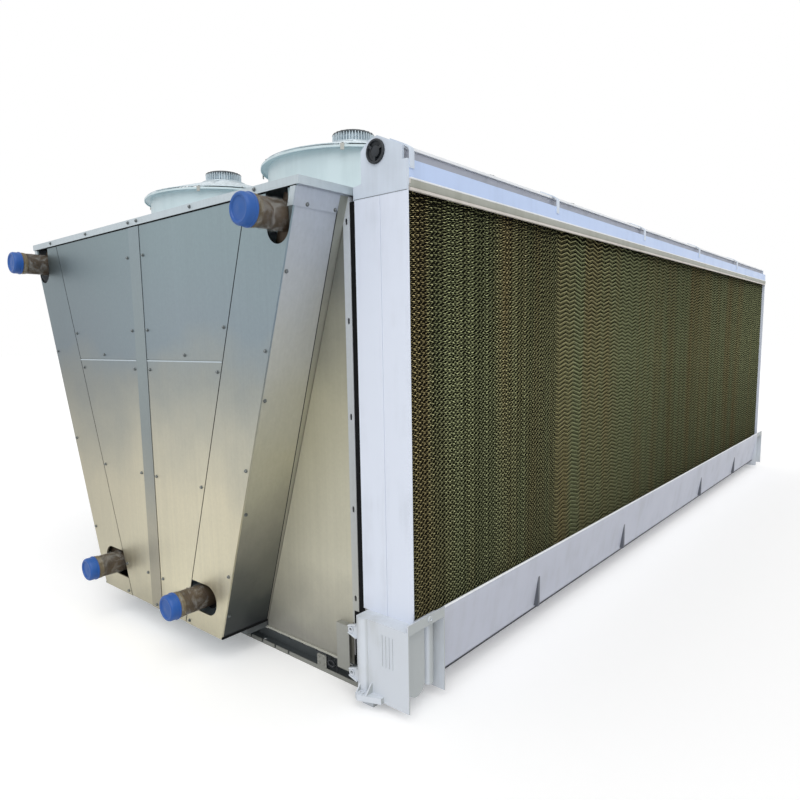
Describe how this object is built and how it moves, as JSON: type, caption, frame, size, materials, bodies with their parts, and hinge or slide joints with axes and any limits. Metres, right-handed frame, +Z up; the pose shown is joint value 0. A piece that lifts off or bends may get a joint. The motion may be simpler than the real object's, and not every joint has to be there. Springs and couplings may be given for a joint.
{
  "type": "dry cooler",
  "caption": "V-bank dry cooler: sheet-metal cabinet with sloping coils, roof fans in rings, capped header stubs and a wetted pad module with sump along one side.",
  "frame": {"origin": "on the floor, midway between the four anchor bolts, on the cabinet's middle plane", "axes": "+X across the cabinet towards the pad module, +Y along it from the header end to the rear end, +Z up"},
  "size_m": [2.728, 6.6923, 2.553],
  "materials": {
    "galvanised_sheet": "zinc-coated sheet, soft spangle, semi-gloss",
    "base_steel": "dull hot-dip galvanised channel",
    "coil_fins": "bare aluminium fin block",
    "shroud_coating": "pale grey-green powder coat",
    "guard_wire": "coated steel wire",
    "motor_can": "ribbed die-cast aluminium",
    "rotor_plastic": "glass-filled dark plastic",
    "header_steel": "brown primed steel pipe",
    "blue_caps": "moulded blue plastic",
    "white_pvc": "white rigid PVC, slight sheen",
    "cream_pvc": "cream rigid PVC",
    "sump_pvc": "pale grey rigid PVC",
    "gusset_pvc": "grey rigid PVC",
    "pad_paper": "resin-stiffened corrugated cellulose, dark olive-brown",
    "plug_black": "black plastic"
  },
  "bodies": {
    "cabinet": {"base_cross_beams": "base_steel", "base_sills": "base_steel", "bottom_tray": "galvanised_sheet", "left_coil": "coil_fins", "right_coil": "coil_fins", "side_covers": "galvanised_sheet", "front_end_wall": "galvanised_sheet", "front_side_strips": "galvanised_sheet", "front_upper_panels": "galvanised_sheet", "front_access_panels": "galvanised_sheet", "front_center_post": "galvanised_sheet", "end_top_covers": "galvanised_sheet", "rear_end_panel": "galvanised_sheet", "fan_decks": "galvanised_sheet", "fan_shrouds": "shroud_coating", "fan_guards": "guard_wire", "fan_motors": "motor_can", "header_pipes": "header_steel", "pipe_caps": "blue_caps", "infill_panels": "galvanised_sheet", "slotted_channels": "galvanised_sheet", "corner_box_cover": "galvanised_sheet", "pad_posts": "white_pvc", "evaporative_pads": "pad_paper", "pad_top_holder": "cream_pvc", "distribution_hood": "white_pvc", "fascia": "white_pvc", "fascia_clips": "white_pvc", "top_end_caps": "white_pvc", "distribution_pipe": "white_pvc", "pipe_plugs": "plug_black", "plenum_flashing": "galvanised_sheet", "sump_troughs": "sump_pvc", "sump_gussets": "gusset_pvc", "sump_end_caps": "white_pvc"},
    "rotor_1": {"fan_rotor_1": "rotor_plastic"},
    "rotor_2": {"fan_rotor_2": "rotor_plastic"},
    "rotor_3": {"fan_rotor_3": "rotor_plastic"},
    "rotor_4": {"fan_rotor_4": "rotor_plastic"},
    "rotor_5": {"fan_rotor_5": "rotor_plastic"},
    "rotor_6": {"fan_rotor_6": "rotor_plastic"},
    "rotor_7": {"fan_rotor_7": "rotor_plastic"},
    "rotor_8": {"fan_rotor_8": "rotor_plastic"},
    "rotor_9": {"fan_rotor_9": "rotor_plastic"},
    "rotor_10": {"fan_rotor_10": "rotor_plastic"}
  },
  "joints": [
    {"name": "fan_1_spin", "type": "hinge", "parent": "cabinet", "child": "rotor_1", "pos_m": [-0.58, -2.415, 2.33], "axis": [0, 0, 1], "continuous": true},
    {"name": "fan_2_spin", "type": "hinge", "parent": "cabinet", "child": "rotor_2", "pos_m": [0.58, -2.415, 2.33], "axis": [0, 0, 1], "continuous": true},
    {"name": "fan_3_spin", "type": "hinge", "parent": "cabinet", "child": "rotor_3", "pos_m": [-0.58, -1.215, 2.33], "axis": [0, 0, 1], "continuous": true},
    {"name": "fan_4_spin", "type": "hinge", "parent": "cabinet", "child": "rotor_4", "pos_m": [0.58, -1.215, 2.33], "axis": [0, 0, 1], "continuous": true},
    {"name": "fan_5_spin", "type": "hinge", "parent": "cabinet", "child": "rotor_5", "pos_m": [-0.58, -0.015, 2.33], "axis": [0, 0, 1], "continuous": true},
    {"name": "fan_6_spin", "type": "hinge", "parent": "cabinet", "child": "rotor_6", "pos_m": [0.58, -0.015, 2.33], "axis": [0, 0, 1], "continuous": true},
    {"name": "fan_7_spin", "type": "hinge", "parent": "cabinet", "child": "rotor_7", "pos_m": [-0.58, 1.185, 2.33], "axis": [0, 0, 1], "continuous": true},
    {"name": "fan_8_spin", "type": "hinge", "parent": "cabinet", "child": "rotor_8", "pos_m": [0.58, 1.185, 2.33], "axis": [0, 0, 1], "continuous": true},
    {"name": "fan_9_spin", "type": "hinge", "parent": "cabinet", "child": "rotor_9", "pos_m": [-0.58, 2.385, 2.33], "axis": [0, 0, 1], "continuous": true},
    {"name": "fan_10_spin", "type": "hinge", "parent": "cabinet", "child": "rotor_10", "pos_m": [0.58, 2.385, 2.33], "axis": [0, 0, 1], "continuous": true}
  ]
}
